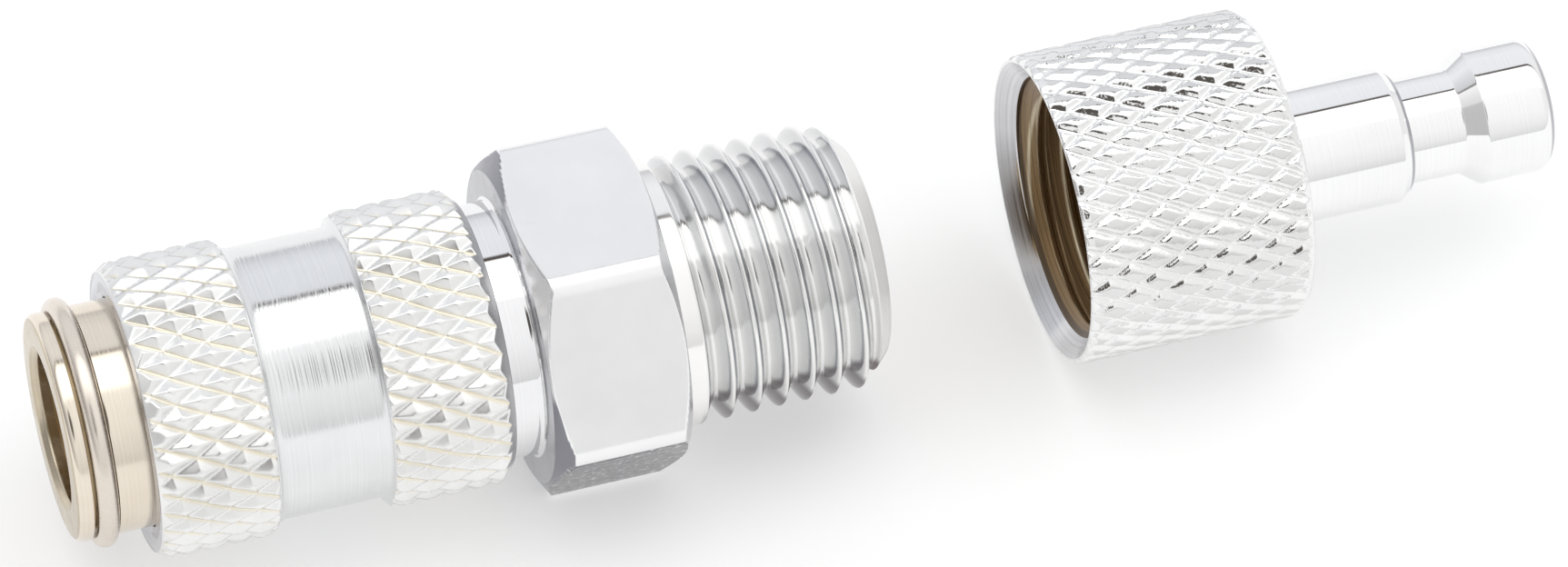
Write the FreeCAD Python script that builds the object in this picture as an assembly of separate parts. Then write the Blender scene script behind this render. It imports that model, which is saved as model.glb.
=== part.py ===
"""Pneumatic quick coupling with ball lock: socket half and plug half, lying in line on a table.

Axial stations run from the front face of the nose towards the plug. All sizes in mm.
"""
import math
import os

import FreeCAD
import Part

V = FreeCAD.Vector

# Quarter-inch parallel pipe thread, which sets the scale
thread_major = 13.157
thread_minor = 11.445
thread_end_chamfer = 1.30
thread_end_dia = 10.50

# Outside of the socket, along the axis
nose_show = 3.71
sleeve_len = 17.52
collar_show = 1.57
hex_len = 6.85
thread_len = 10.75
gap_to_plug = 9.41

# Outside of the socket, across the axis
nose_dia = 11.15
sleeve_band_wall = 1.695
sleeve_waist_wall = 1.075
collar_wall = 0.675
across_flats = 15.875
hex_edge_round = 1.20
hex_face_inset = 0.20
hex_chamfer_deg = 30.0

# Knurled sleeve: two bands with a plain waist between them
front_chamfer_len = 0.65
front_chamfer_depth = 0.41
band_front_end = 5.50
waist_start = 6.45
waist_end = 11.00
band_rear_start = 11.65
rear_chamfer_len = 0.66
rear_chamfer_depth = 0.67
waist_fillet_rise = 0.38

# Plug half
nut_wall = 1.17
nut_len = 11.49
nut_edge_chamfer = 0.50
nut_rim_depth = 0.15
nut_mouth_dia = 14.80
nut_depth = 9.40
tip_dia = 6.82
shank_len = 6.20
shoulder_len = 0.60
neck_dia = 5.32
neck_len = 2.82
tip_cone_len = 0.99
tip_len = 2.76
tip_round = 0.83
plug_bore_dia = 3.90

# Ball lock
ball_count = 6
ball_proud = 0.475
ball_hide = 0.05
ball_plane = 3.69
ball_travel = 0.38
pocket_side_clear = 0.05
ball_seat_gap = 0.09
recess_clear = 0.12
ramp_clear = 0.05
lip_len = 1.14

# Mouth of the nose, a little wider than the bore behind it
entry_step = 0.20
entry_len = 5.00
entry_edge = 0.30

# Fits
plug_clear = 0.14
sleeve_clear = 0.045
collar_clear = 0.05
valve_clear = 0.11
seal_clear = 0.05
seat_clear = 0.045
ring_clear = 0.04
thread_fit_clear = 0.03

# Wire ring that stops the sleeve
ring_wire = 1.05
ring_plane = 1.45
ring_groove_front = 0.15
ring_gap_deg = 16.0

# Sleeve spring and its chamber
spring_face = 8.29
chamber_room = 0.55
chamber_wall = 0.425
spindle_step = 7.49
spindle_drop = 0.625
sleeve_wire = 0.70
sleeve_pitch = 1.00
collar_under = 3.73
collar_fillet = 0.25
sleeve_travel = 1.25
spring_gap = 0.02
wire_sides = 6
coil_steps = 14

# Valve
valve_lead = 0.60
valve_nose_chamfer = 0.40
valve_tube_wall = 1.15
valve_travel = 6.50
seat_from_ball = 6.80
seat_len = 0.80
valve_seal_wire = 0.90
valve_flange_len = 1.15
valve_port_dia = 2.0
valve_boss_len = 1.0
valve_wire = 0.60
valve_pitch = 2.00
plug_seal_wire = 0.94
seal_side_clear = 0.04
plug_seal_from_ball = 3.75

# Inside of the rear half
body_thread_len = 2.70
gasket_len = 0.80
gasket_wall = 0.60
air_bore_dia = 5.20
spring_seat_len = 3.00
spring_seat_step = 1.40
valve_back_room = 2.10

# Radii that follow
nose_r = nose_dia / 2
bore_r = tip_dia / 2 + plug_clear
entry_r = bore_r + entry_step
band_r = nose_r + sleeve_band_wall
waist_r = nose_r + sleeve_waist_wall
collar_r = nose_r + collar_wall
major_r = thread_major / 2
minor_r = thread_minor / 2
nut_r = major_r + nut_wall
tip_r = tip_dia / 2
neck_r = neck_dia / 2
flat_r = across_flats / 2
corner_r = across_flats / math.sqrt(3)

ball_r = (nose_r - bore_r + ball_proud) / 2
ball_out = bore_r - ball_hide + ball_r
land_r = nose_r + sleeve_clear
recess_r = ball_out + ball_r + recess_clear
chamber_r = nose_r + chamber_wall
spindle_r = nose_r - spindle_drop
valve_r = bore_r - valve_clear
seat_r = bore_r + seat_len

# Stations that follow
sleeve_front = nose_show
sleeve_rear = sleeve_front + sleeve_len
hex_front = sleeve_rear + collar_show
hex_rear = hex_front + hex_len
socket_end = hex_rear + thread_len
rim_front = socket_end + gap_to_plug
nut_back = rim_front + nut_len
shank_end = nut_back + shank_len
neck_front = shank_end + shoulder_len
neck_back = neck_front + neck_len
tip_front = neck_back + tip_cone_len
tip_back = tip_front + tip_len
plug_end = tip_back + tip_round

ball_s = sleeve_front + ball_plane
spring_s = sleeve_front + spring_face
collar_front = sleeve_rear - collar_under
chamber_end = collar_front - sleeve_travel - chamber_room
body_rear = collar_front + body_thread_len
shoulder_s = body_rear + gasket_len
seat_s = ball_s + seat_from_ball
valve_front = ball_s - valve_lead
valve_seal_s = seat_s - (bore_r - valve_r) + math.sqrt(2) * (valve_seal_wire / 2 + seat_clear)
seal_groove = valve_seal_s - valve_seal_wire / 2 - seal_side_clear
flange_s = valve_seal_s + valve_seal_wire / 2 + seal_side_clear
flange_end = flange_s + valve_flange_len
wide_end = flange_end + valve_travel + valve_back_room
spring_seat = wide_end + spring_seat_len

# Place in the shared frame: middle of the length at X = 0, the table at Z = 0
shift_x = -plug_end / 2
socket_z = flat_r
plug_z = nut_r

os.makedirs("parts", exist_ok=True)


def turned(points):
    """Solid of revolution about X. An entry of two points is an arc through the first to the second."""
    edges = []
    at = V(points[0][0], points[0][1], 0)
    for item in points[1:] + [points[0]]:
        if isinstance(item[0], tuple):
            mid = V(item[0][0], item[0][1], 0)
            end = V(item[1][0], item[1][1], 0)
            edges.append(Part.Arc(at, mid, end).toShape())
        else:
            end = V(item[0], item[1], 0)
            if at.distanceToPoint(end) < 1e-7:
                continue
            edges.append(Part.LineSegment(at, end).toShape())
        at = end
    face = Part.Face(Part.Wire(edges))
    return face.revolve(V(0, 0, 0), V(1, 0, 0), 360)


def around(shape, degrees):
    copy = shape.copy()
    copy.rotate(V(0, 0, 0), V(1, 0, 0), degrees)
    return copy


def o_ring(station, centre_r, wire_r):
    """Ring of rubber cord, its round section drawn with eight flats."""
    rim = []
    for k in range(8):
        a = math.radians(45.0 * k + 22.5)
        rim.append((station + wire_r * math.cos(a), centre_r + wire_r * math.sin(a)))
    return turned(rim)


def coil(start, end, mean_r, wire_r, pitch):
    """Compression spring in short straight lengths, its closed ends ground flat at both stations."""
    low = start + 0.4 * wire_r
    high = end - 0.4 * wire_r
    closed = 0.8
    lay = 2.05 * wire_r
    turns = (high - low - 2 * closed * lay) / pitch
    total = turns + 2 * closed
    count = int(round(coil_steps * total))
    path = []
    for k in range(count + 1):
        t = total * k / count
        s = low + lay * (min(t, closed) + max(0.0, t - closed - turns))
        s += pitch * max(0.0, min(t - closed, turns))
        a = 2 * math.pi * t
        path.append(V(s, mean_r * math.cos(a), mean_r * math.sin(a)))
    along = (path[1] - path[0]).normalize()
    out = along.cross(V(0, 0, 1)).normalize()
    up = along.cross(out)
    rim = []
    for k in range(wire_sides + 1):
        a = 2 * math.pi * k / wire_sides
        rim.append(path[0] + out * (wire_r * math.cos(a)) + up * (wire_r * math.sin(a)))
    wire = Part.makePolygon(path).makePipeShell([Part.makePolygon(rim)], True, False, 1)
    room = Part.makeCylinder(mean_r + 2 * wire_r, end - start, V(start, 0, 0), V(1, 0, 0))
    return wire.common(room)


def save(shape, node, height):
    placed = shape.copy()
    placed.translate(V(shift_x, 0, height))
    solids = placed.Solids
    if len(solids) == 1:
        placed = solids[0]
    print(node, placed.isValid(), len(solids), round(placed.Volume, 3))
    placed.exportStep("parts/" + node + ".step")


# Front body: nose, ball cage, seal groove, valve seat and the stem the sleeve spring rides on
ring_r = nose_r
groove_r = ring_r - ring_wire / 2 - ring_clear
groove_front = ring_plane - ring_wire / 2 - ring_groove_front
groove_back = ring_plane + ring_wire / 2 + ring_clear
step_s = sleeve_front + spindle_step
seal_s = ball_s + plug_seal_from_ball
seal_half = plug_seal_wire / 2 + 2 * seal_side_clear
seal_r = valve_r + seal_clear + plug_seal_wire / 2
seal_floor = seal_r + plug_seal_wire / 2 + seal_clear

front_body = turned([
    (entry_edge, entry_r),
    (0.0, entry_r + entry_edge),
    (0.0, nose_r - 0.25),
    (0.25, nose_r),
    (groove_front, nose_r),
    (groove_front, groove_r),
    (groove_back, groove_r),
    (groove_back, nose_r),
    (step_s - 0.25, nose_r),
    (step_s, nose_r - 0.25),
    (step_s, spindle_r),
    (body_rear - 0.25, spindle_r),
    (body_rear, spindle_r - 0.25),
    (body_rear, seat_r),
    (seat_s + seat_len, seat_r),
    (seat_s, bore_r),
    (seal_s + seal_half, bore_r),
    (seal_s + seal_half, seal_floor),
    (seal_s - seal_half, seal_floor),
    (seal_s - seal_half, bore_r),
    (entry_len + entry_step, bore_r),
    (entry_len, entry_r),
])

# Each ball hole narrows to a seat at the bore, so the ball can stand into it but not drop through
pocket_r = ball_r + pocket_side_clear
ball_in = ball_out - ball_travel
throat_top = bore_r - 0.05
throat_r = math.sqrt(ball_r ** 2 - (ball_in - ball_seat_gap - throat_top) ** 2)
seat_rise = 0.40 * ball_r + 0.05
seat_top = throat_top + seat_rise
hole = Part.makeCylinder(pocket_r, nose_r - seat_top + 1.0, V(ball_s, 0, seat_top), V(0, 0, 1))
seat_cone = Part.makeCone(throat_r, pocket_r, seat_rise, V(ball_s, 0, throat_top), V(0, 0, 1))
throat = Part.makeCylinder(throat_r, 1.0, V(ball_s, 0, throat_top - 0.95), V(0, 0, 1))
pocket = hole.fuse(seat_cone).fuse(throat)
for k in range(ball_count):
    front_body = front_body.cut(around(pocket, 360.0 * k / ball_count))
save(front_body, "front_body", socket_z)

# Locking balls, shown out, held up by the nose of the valve
for k in range(ball_count):
    ball = Part.makeSphere(ball_r, V(ball_s, 0, ball_out))
    save(around(ball, 360.0 * k / ball_count), "locking_ball_%d" % (k + 1), socket_z)

# Wire ring in its groove, with the gap at the bottom
ring = Part.makeTorus(ring_r, ring_wire / 2, V(ring_plane, 0, 0), V(1, 0, 0))
gap_half = math.radians(ring_gap_deg / 2)
gap_width = 2 * ring_r * math.tan(gap_half)
notch_at = V(ring_plane - ring_wire, -gap_width / 2, -ring_r - ring_wire)
notch = Part.makeBox(2 * ring_wire, gap_width, 2 * ring_wire, notch_at)
save(ring.cut(notch), "retaining_ring", socket_z)

# Locking sleeve: lip on the nose, relief over the balls, ramp, land, spring chamber, rear skirt on the collar
half = math.sqrt((ball_r + ramp_clear) ** 2 - (land_r - ball_out) ** 2)
ramp_lean = math.radians(33.0)
reach = (ball_r + ramp_clear - (land_r - ball_out) * math.cos(ramp_lean)) / math.sin(ramp_lean)
land_s = ball_s + max(reach, half)
ramp_s = land_s - (recess_r - land_r) / math.tan(ramp_lean)
front = sleeve_front
rear_edge = front + band_rear_start
rise = waist_fillet_rise
dip = rise * 0.30
sleeve = turned([
    (front + 0.20, land_r),
    (front, land_r + 0.20),
    (front, band_r - front_chamfer_depth),
    (front + front_chamfer_len, band_r),
    (front + band_front_end, band_r),
    (front + band_front_end + 0.30, waist_r + rise),
    ((front + band_front_end + 0.45, waist_r + dip), (front + waist_start, waist_r)),
    (front + waist_end, waist_r),
    ((rear_edge - 0.33, waist_r + dip), (rear_edge - 0.20, waist_r + rise)),
    (rear_edge, band_r),
    (sleeve_rear - rear_chamfer_len, band_r),
    (sleeve_rear, band_r - rear_chamfer_depth),
    (sleeve_rear, collar_r + collar_clear),
    (chamber_end, collar_r + collar_clear),
    (chamber_end, chamber_r),
    (spring_s, chamber_r),
    (spring_s, land_r),
    (land_s, land_r),
    (ramp_s, recess_r),
    (front + lip_len, recess_r),
    (front + lip_len, land_r),
])
save(sleeve, "locking_sleeve", socket_z)

sleeve_coil_r = (spindle_r + chamber_r) / 2
coil_front = spring_s + spring_gap
sleeve_spring = coil(coil_front, collar_front - spring_gap, sleeve_coil_r, sleeve_wire / 2, sleeve_pitch)
save(sleeve_spring, "sleeve_spring", socket_z)

# Rear half: collar, hexagon with a flat down, male pipe thread as a plain cylinder at its major diameter
corners = []
for k in range(7):
    a = math.radians(60.0 * k)
    corners.append(V(hex_front, corner_r * math.cos(a), corner_r * math.sin(a)))
prism = Part.Face(Part.makePolygon(corners)).extrude(V(hex_len, 0, 0))
long_edges = [e for e in prism.Edges if abs(e.Vertexes[0].X - e.Vertexes[1].X) > hex_len / 2]
prism = prism.makeFillet(hex_edge_round, long_edges)
face_r = flat_r - hex_face_inset
cone_len = (corner_r - face_r) * math.tan(math.radians(hex_chamfer_deg))
hexagon = prism.common(turned([
    (hex_front, 0.0),
    (hex_front, face_r),
    (hex_front + cone_len, corner_r),
    (hex_rear - cone_len, corner_r),
    (hex_rear, face_r),
    (hex_rear, 0.0),
]))
fillet_dip = 0.3 * collar_fillet
spindle = turned([
    (collar_front, 0.0),
    (collar_front, collar_r - 0.30),
    (collar_front + 0.30, collar_r),
    (hex_front - collar_fillet, collar_r),
    ((hex_front - fillet_dip, collar_r + fillet_dip), (hex_front, collar_r + collar_fillet)),
    (hex_front + 1.0, collar_r + collar_fillet),
    (hex_rear - 1.0, major_r),
    (socket_end - thread_end_chamfer, major_r),
    (socket_end, thread_end_dia / 2),
    (socket_end, 0.0),
])
body_socket_r = spindle_r + thread_fit_clear
air_r = air_bore_dia / 2
wide_r = body_socket_r - gasket_wall
spring_seat_r = air_r + spring_seat_step
inside = turned([
    (collar_front - 1.0, 0.0),
    (collar_front - 1.0, body_socket_r),
    (shoulder_s, body_socket_r),
    (shoulder_s, wide_r),
    (wide_end, wide_r),
    (wide_end, spring_seat_r),
    (spring_seat, spring_seat_r),
    (spring_seat, air_r),
    (socket_end - 0.40, air_r),
    (socket_end, air_r + 0.40),
    (socket_end + 1.0, air_r + 0.40),
    (socket_end + 1.0, 0.0),
])
rear_adapter = spindle.fuse(hexagon).cut(inside).removeSplitter()
save(rear_adapter, "rear_adapter", socket_z)

gasket = turned([
    (body_rear, wide_r + 0.02),
    (shoulder_s, wide_r + 0.02),
    (shoulder_s, spindle_r),
    (body_rear, spindle_r),
])
save(gasket, "body_gasket", socket_z)

# Seal that grips the tip of the plug
save(o_ring(seal_s, seal_r, plug_seal_wire / 2), "plug_seal", socket_z)

# Valve: open tube in the bore, cross ports, seal groove and flange behind the seat
tube_in = valve_r - valve_tube_wall
groove_floor = valve_r - valve_seal_wire / 2 - seal_clear
flange_r = valve_r + 0.50
boss_r = air_r + 0.15
valve = turned([
    (valve_front, tube_in + 0.25),
    (valve_front, valve_r - valve_nose_chamfer),
    (valve_front + valve_nose_chamfer, valve_r),
    (seal_groove, valve_r),
    (seal_groove, groove_floor),
    (flange_s, groove_floor),
    (flange_s, flange_r),
    (flange_end, flange_r),
    (flange_end, boss_r),
    (flange_end + valve_boss_len - 0.2, boss_r),
    (flange_end + valve_boss_len, boss_r - 0.2),
    (flange_end + valve_boss_len, 0.0),
    (seal_groove - 0.30, 0.0),
    (seal_groove - 0.30, tube_in),
    (valve_front + 0.25, tube_in),
])
port_s = seal_groove - 0.45 - valve_port_dia / 2
port = Part.makeCylinder(valve_port_dia / 2, valve_r + 1.0, V(port_s, 0, 0), V(0, 0, 1))
for k in range(4):
    valve = valve.cut(around(port, 45.0 + 90.0 * k))
save(valve, "valve_poppet", socket_z)

save(o_ring(valve_seal_s, valve_r, valve_seal_wire / 2), "valve_seal", socket_z)

valve_coil_r = (boss_r + spring_seat_r) / 2
coil_front = flange_end + spring_gap
valve_spring = coil(coil_front, spring_seat - spring_gap, valve_coil_r, valve_wire / 2, valve_pitch)
save(valve_spring, "valve_spring", socket_z)

# Plug half, turned from one bar: nut with female pipe thread at its minor diameter, shank, neck and tip
plug_bore_r = plug_bore_dia / 2
mouth_r = nut_mouth_dia / 2
mouth_end = rim_front + mouth_r - minor_r
thread_floor = rim_front + nut_depth
plug = turned([
    (rim_front, mouth_r),
    (rim_front, nut_r - nut_rim_depth),
    (rim_front + nut_edge_chamfer, nut_r),
    (nut_back - nut_edge_chamfer, nut_r),
    (nut_back, nut_r - 0.7 * nut_edge_chamfer),
    (nut_back, tip_r),
    (shank_end, tip_r),
    (shank_end + 0.75 * shoulder_len, tip_r - 0.32),
    (neck_front, tip_r - 0.42),
    (neck_front, neck_r),
    (neck_back, neck_r),
    (tip_front, tip_r),
    (tip_back, tip_r),
    ((tip_back + 0.72 * tip_round, tip_r - 0.30 * tip_round), (plug_end, tip_r - tip_round)),
    (plug_end, plug_bore_r + 0.15),
    (plug_end - 0.15, plug_bore_r),
    (thread_floor + 0.5, plug_bore_r),
    (thread_floor, minor_r - 0.4),
    (thread_floor, minor_r),
    (mouth_end, minor_r),
])
save(plug, "plug_nipple", plug_z)
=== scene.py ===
import math
import bpy
import numpy as np
from mathutils import Matrix


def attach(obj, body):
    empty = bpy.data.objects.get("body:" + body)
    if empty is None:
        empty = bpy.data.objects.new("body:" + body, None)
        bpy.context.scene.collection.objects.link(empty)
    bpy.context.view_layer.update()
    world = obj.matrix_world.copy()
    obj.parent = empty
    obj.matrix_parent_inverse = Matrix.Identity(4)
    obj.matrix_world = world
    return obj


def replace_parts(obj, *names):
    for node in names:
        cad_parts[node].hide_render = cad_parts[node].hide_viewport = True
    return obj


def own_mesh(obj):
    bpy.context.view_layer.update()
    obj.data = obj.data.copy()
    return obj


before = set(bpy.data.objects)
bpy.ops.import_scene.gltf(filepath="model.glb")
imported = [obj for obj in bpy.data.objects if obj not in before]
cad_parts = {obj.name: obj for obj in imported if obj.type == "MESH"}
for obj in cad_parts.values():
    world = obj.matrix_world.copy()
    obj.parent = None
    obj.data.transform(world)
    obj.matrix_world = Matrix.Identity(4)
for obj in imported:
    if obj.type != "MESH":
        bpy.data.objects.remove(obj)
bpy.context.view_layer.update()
print("frame loaded", len(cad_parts), "nodes")

place = {  # sizes of the pieces are millimetres, and a station is counted from the front of the nose
    "toMetres": 0.001,
    "shift": -37.75,  # from a station to x in the shared frame
    "socketAxis": 7.9375,  # height of the socket's axis over the table
    "plugAxis": 7.7485,
}


def evenTurns(count):
    # angles spread evenly round the axis
    return 2 * np.pi * np.arange(count) / count


def ringFaces(rows, cols, loop=True):
    # quads between neighbouring rows and columns: columns close round the axis, and rows too when loop is set
    i = np.arange(rows if loop else rows - 1)[:, None]
    j = np.arange(cols)[None, :]
    i2, j2 = (i + 1) % rows, (j + 1) % cols
    return np.stack([i * cols + j, i * cols + j2, i2 * cols + j2, i2 * cols + j], -1).reshape(-1, 4)


def putObject(name, data):
    obj = bpy.data.objects.new(name, data)
    bpy.context.scene.collection.objects.link(obj)
    return obj


def putMesh(name, verts, quads, mats, matIndex=None, marks=None):
    # a mesh from whole arrays, with smooth faces, one material index a face and float marks on the points
    mesh = bpy.data.meshes.new(name)
    mesh.vertices.add(len(verts))
    mesh.vertices.foreach_set("co", (verts * place["toMetres"]).astype(np.float32).ravel())
    mesh.loops.add(quads.size)
    mesh.loops.foreach_set("vertex_index", quads.astype(np.int32).ravel())
    mesh.polygons.add(len(quads))
    mesh.polygons.foreach_set("loop_start", np.arange(0, quads.size, quads.shape[1], dtype=np.int32))
    mesh.update(calc_edges=True)
    mesh.polygons.foreach_set("use_smooth", np.ones(len(quads), bool))
    for finish in mats:
        mesh.materials.append(finishes[finish])
    if matIndex is not None:
        mesh.polygons.foreach_set("material_index", np.asarray(matIndex, np.int32))
    for key, values in (marks or {}).items():
        layer = mesh.attributes.new(key, "FLOAT", "POINT")
        layer.data.foreach_set("value", np.asarray(values, np.float32).ravel())
    mesh.validate()
    return putObject(name, mesh)


def axisPoints(station, radius, turn, axis):
    # the point at station s, radius r and angle t is (s, r cos t, r sin t + height of the axis)
    x = station + place["shift"]
    y = radius * np.cos(turn)
    z = radius * np.sin(turn) + place[axis]
    return np.stack(np.broadcast_arrays(x, y, z), -1).reshape(-1, 3)


def turnedSkin(name, rows, radii, turn, axis, mats, rowMat=None, marks=None):
    # a skin round the axis: one station a row, a radius at every point, the last row joined to the first
    matIndex = None if rowMat is None else np.repeat(rowMat, radii.shape[1])
    verts = axisPoints(rows[:, None], radii, turn, axis)
    return putMesh(name, verts, ringFaces(*radii.shape), mats, matIndex, marks)


def allRound(outline, cols):
    # the stations of a turned outline, and its radius repeated at every column
    return outline[:, 0], np.repeat(outline[:, 1:], cols, 1)


def stackParts(parts):
    # stretches of one skin, each with its stations, radii and material index, put one after the other
    rows = np.concatenate([p[0] for p in parts])
    radii = np.concatenate([p[1] for p in parts])
    rowMat = np.concatenate([np.full(len(p[0]), p[2]) for p in parts])
    return rows, radii, rowMat


def onRows(shape, first, values):
    # a mark that has these values from one row on, and is 0 elsewhere
    mark = np.zeros(shape)
    mark[first:first + len(values)] = values
    return mark


easing = {"support": 0.06, "cutShare": 0.3, "supportShare": 0.15}  # longest support, and shares of a side


def eased(points, cut=0.05):
    # each corner becomes a short curve through its two cut points, with a support point on either side of it
    p = np.asarray(points, float)
    ahead = np.roll(p, -1, 0) - p
    span = np.linalg.norm(ahead, axis=1)[:, None]
    ahead /= np.maximum(span, 1e-9)
    behind, spanBack = -np.roll(ahead, 1, 0), np.roll(span, 1, 0)
    a, b = (np.minimum(cut, side * easing["cutShare"]) for side in (spanBack, span))
    keepA, keepB = (np.minimum(easing["support"], side * easing["supportShare"]) for side in (spanBack, span))
    bow = 0.25 * (p + behind * a) + 0.5 * p + 0.25 * (p + ahead * b)
    out = np.stack([p + behind * (a + keepA), p + behind * a, bow, p + ahead * b, p + ahead * (b + keepB)], 1)
    out[[0, -1], 2] = p[[0, -1]]  # the first and the last point stay where they are
    return out.reshape(-1, 2)[2:-2]


def quarterArc(centre, along, out, count):
    # a quarter of an ellipse, from straight out of its centre to straight along the axis
    # it has the sine and the cosine of an even angle
    arc = np.linspace(0, np.pi / 2, count)
    return np.stack([centre[0] + along * np.sin(arc), centre[1] + out * np.cos(arc)], -1)


def smoothStep(x):
    # 0 up to 0 and 1 from 1 on, with a cubic between them
    x = np.clip(x, 0.0, 1.0)
    return x * x * (3 - 2 * x)


def softMin(a, b, w):
    # the smaller of two values, rounded over a width w where they meet
    h = np.clip(0.5 + 0.5 * (b - a) / w, 0, 1)
    return b * (1 - h) + a * h - w * h * (1 - h)


def softMax(a, b, w):
    return -softMin(-a, -b, w)


def fromGroove(x):
    # 0 on a groove line and 1 midway to the next, for a phase that grows by 1 a groove
    return 1 - np.abs(2 * (x - np.floor(x)) - 1)


def near(turn, degrees, low, wide):
    # 1 round one angle and 0 away from it: the cosine of the angle between, eased from low to low + wide
    return smoothStep((np.cos(turn - math.radians(degrees)) - low) / wide)


def feed(tree, socket, value):
    # a socket gets another node's output, or else a fixed value
    if isinstance(value, bpy.types.NodeSocket):
        tree.links.new(value, socket)
    else:
        socket.default_value = value


def addNode(tree, kind, inputs, **settings):
    # the settings come first, because they decide which inputs a node has
    node = tree.nodes.new(kind)
    for key, value in settings.items():
        setattr(node, key, value)
    for key, value in inputs.items():
        feed(tree, node.inputs[key], value)
    return node


def nodesOf(name):
    mat = bpy.data.materials.new(name)
    mat.use_nodes = True
    tree = mat.node_tree
    return mat, tree, tree.nodes["Principled BSDF"]


def pointOn(tree):
    return addNode(tree, "ShaderNodeTexCoord", {}).outputs["Object"]


noise = {"rough": 0.55, "lineDetail": 4.0}


def noiseOn(tree, vector, scale, detail=3.0):
    inputs = {"Scale": scale, "Detail": detail, "Roughness": noise["rough"], "Vector": vector}
    return addNode(tree, "ShaderNodeTexNoise", inputs).outputs["Fac"]


def linesOn(tree, vector, scale):
    # fine turning lines: noise along the axis only
    part = addNode(tree, "ShaderNodeSeparateXYZ", {0: vector})
    inputs = {"Scale": scale, "Detail": noise["lineDetail"], "W": part.outputs["X"]}
    return addNode(tree, "ShaderNodeTexNoise", inputs, noise_dimensions="1D").outputs["Fac"]


def rampOn(tree, fac, stops):
    # colour by factor, where each stop is a place from 0 to 1 and a tone
    ramp = addNode(tree, "ShaderNodeValToRGB", {"Fac": fac})
    points = ramp.color_ramp.elements
    for at, tone in stops[1:-1]:
        points.new(at)
    for point, (at, tone) in zip(points, stops):
        point.position = at
        point.color = (*tone, 1)
    return ramp.outputs["Color"]


def cloudOn(tree, fac, low, high):
    # two tones in soft clouds, for a noise that is mostly between 0.3 and 0.7
    return rampOn(tree, fac, [(0.3, low), (0.7, high)])


def spanOn(tree, fac, low, high, a=0.3, b=0.7):
    # a value from low to high as the factor goes from a to b
    inputs = {"Value": fac, "From Min": a, "From Max": b, "To Min": low, "To Max": high}
    return addNode(tree, "ShaderNodeMapRange", inputs).outputs["Result"]


def mathOn(tree, kind, *values):
    return addNode(tree, "ShaderNodeMath", dict(enumerate(values)), operation=kind).outputs[0]


def mixOn(tree, share, a, b, blend="MIX"):
    inputs = {"Factor": share, "A": a, "B": b}
    return addNode(tree, "ShaderNodeMix", inputs, data_type="RGBA", blend_type=blend).outputs["Result"]


def bumpOn(tree, height, strength, depth, normal=None):
    inputs = {"Strength": strength, "Distance": depth, "Height": height}
    if normal is not None:
        inputs["Normal"] = normal
    return addNode(tree, "ShaderNodeBump", inputs).outputs["Normal"]


metalBase = {  # what a finish has unless its own entry says otherwise
    "metallic": 1.0, "marks": [], "streaks": 0.0, "lines": 0.0, "wobble": 0.0, "dents": 0.0,
    "cloud": 260.0, "grain": 1500.0, "lineScale": 9000.0,  # scales of the noises
    "glintScale": 3200.0, "wobbleScale": 2600.0, "dentScale": 900.0,
    "lineDepth": 0.00001, "dentDepth": 0.00003, "wobbleStrength": 0.5,  # depths in metres
    "glintSpan": (0.56, 0.72), "dentSpan": (0.71, 0.78),  # the noise has to reach this to show one
    "markLift": 1.12,  # how much lighter a mark's tone is in the light clouds
}
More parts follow.
